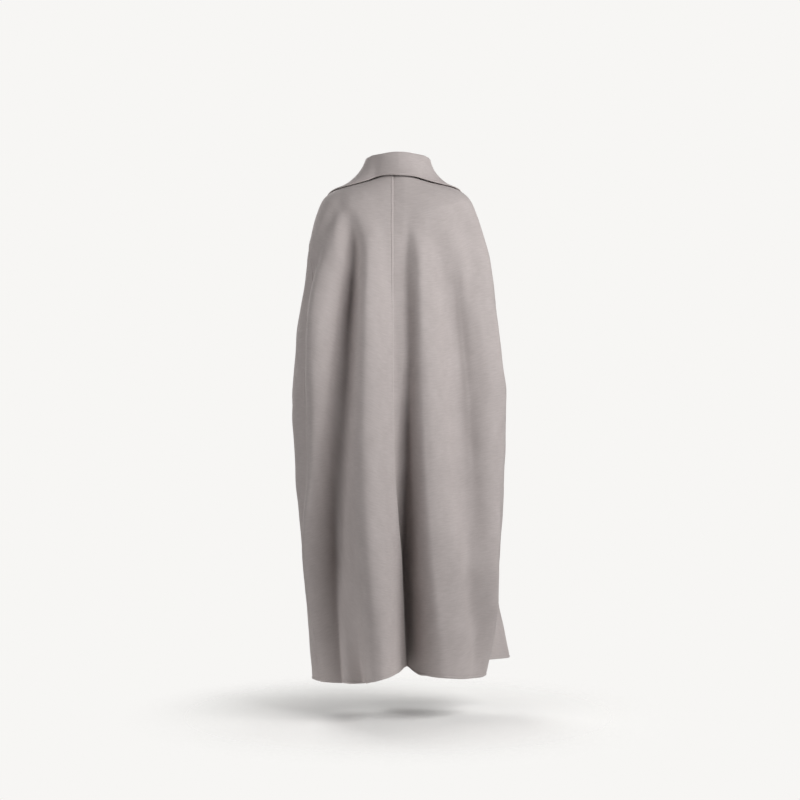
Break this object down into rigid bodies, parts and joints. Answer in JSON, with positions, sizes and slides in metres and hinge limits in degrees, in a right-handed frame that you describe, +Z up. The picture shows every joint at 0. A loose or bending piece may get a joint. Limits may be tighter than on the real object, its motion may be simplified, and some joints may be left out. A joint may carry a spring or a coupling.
{
  "type": "wool cape coat",
  "caption": "Long sleeveless cape coat in double-faced wool with a turned-down collar, hollow as worn, with centre back and side vents.",
  "frame": {"origin": "middle of the neck opening, level with the edge of the turned-down collar at the nape, where the wearer carries the coat", "axes": "+Z up, -Y to the wearer's front, +X to the wearer's left"},
  "size_m": [0.6119, 0.4782, 1.476],
  "materials": {
    "double_faced_wool": "matte, brushed"
  },
  "bodies": {
    "root": {"back_left": "double_faced_wool", "back_right": "double_faced_wool", "front_left": "double_faced_wool", "front_right": "double_faced_wool", "collar": "double_faced_wool"}
  },
  "joints": []
}
